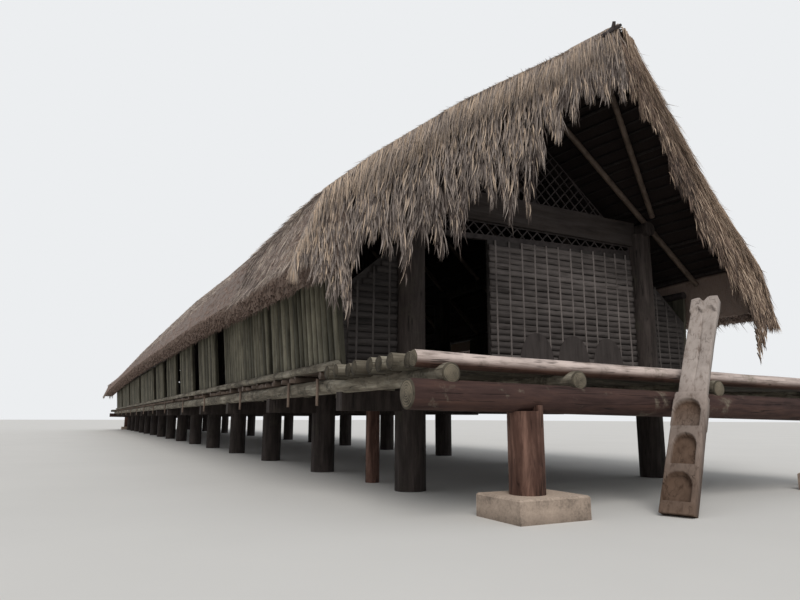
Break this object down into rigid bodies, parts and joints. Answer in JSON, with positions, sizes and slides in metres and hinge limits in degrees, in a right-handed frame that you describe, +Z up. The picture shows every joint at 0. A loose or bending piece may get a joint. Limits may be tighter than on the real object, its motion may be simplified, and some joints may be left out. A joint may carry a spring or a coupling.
{
  "type": "half-scale model stilt longhouse",
  "caption": "Long thatched house on log stilts, a 1:2 scale model, with a pointed hooded roof at each gable, log decks, bamboo walls and a notched-plank ladder.",
  "frame": {"origin": "on the ground under the middle of the whole house, deck footing to ladder foot", "axes": "+X to the right as seen from the ladder, +Y along the house from the ladder end to the rear, +Z up"},
  "size_m": [3.9, 24.047, 3.561],
  "materials": {
    "concrete": "rough cast, dusty",
    "red_brown_log": "weathered, matte",
    "mossy_log": "weathered, mossy, matte",
    "bleached_log": "bleached, matte",
    "ladder_wood": "weathered grey, cracked",
    "column_wood": "dark, matte",
    "bamboo": "aged bamboo, dull",
    "wall_bamboo": "aged split bamboo",
    "woven_bamboo": "aged woven bamboo",
    "dark_bamboo": "smoke-dark bamboo",
    "board_wood": "flat, matte",
    "thatch": "dry grass thatch"
  },
  "bodies": {
    "root": {"footings": "concrete", "deck_posts": "red_brown_log", "prop_post": "red_brown_log", "front_deck_beam": "red_brown_log", "rear_deck_beam": "red_brown_log", "left_side_bearer": "mossy_log", "right_side_bearer": "mossy_log", "middle_bearers": "mossy_log", "front_edge_log": "bleached_log", "front_deck_logs": "mossy_log", "rear_deck_logs": "mossy_log", "log_ladder": "ladder_wood", "left_columns": "column_wood", "right_columns": "column_wood", "floor_beams": "column_wood", "floor_joists": "bamboo", "floor": "bamboo", "side_rails": "column_wood", "left_wall": "wall_bamboo", "right_wall": "wall_bamboo", "wall_plates": "bamboo", "front_woven_wall": "woven_bamboo", "rear_woven_wall": "woven_bamboo", "front_head_rail": "bamboo", "rear_head_rail": "bamboo", "front_side_panels": "wall_bamboo", "rear_side_panels": "wall_bamboo", "front_lattice_band": "dark_bamboo", "rear_lattice_band": "dark_bamboo", "front_gable_lattice": "dark_bamboo", "rear_gable_lattice": "dark_bamboo", "arched_boards": "board_wood", "tie_beams": "column_wood", "roof_plates": "column_wood", "king_posts": "column_wood", "ridge_pole": "column_wood", "left_rafters": "bamboo", "right_rafters": "bamboo", "left_purlins": "bamboo", "right_purlins": "bamboo", "prow_rafters": "bamboo", "left_thatch": "thatch", "right_thatch": "thatch", "ridge_cap": "thatch"}
  },
  "joints": []
}
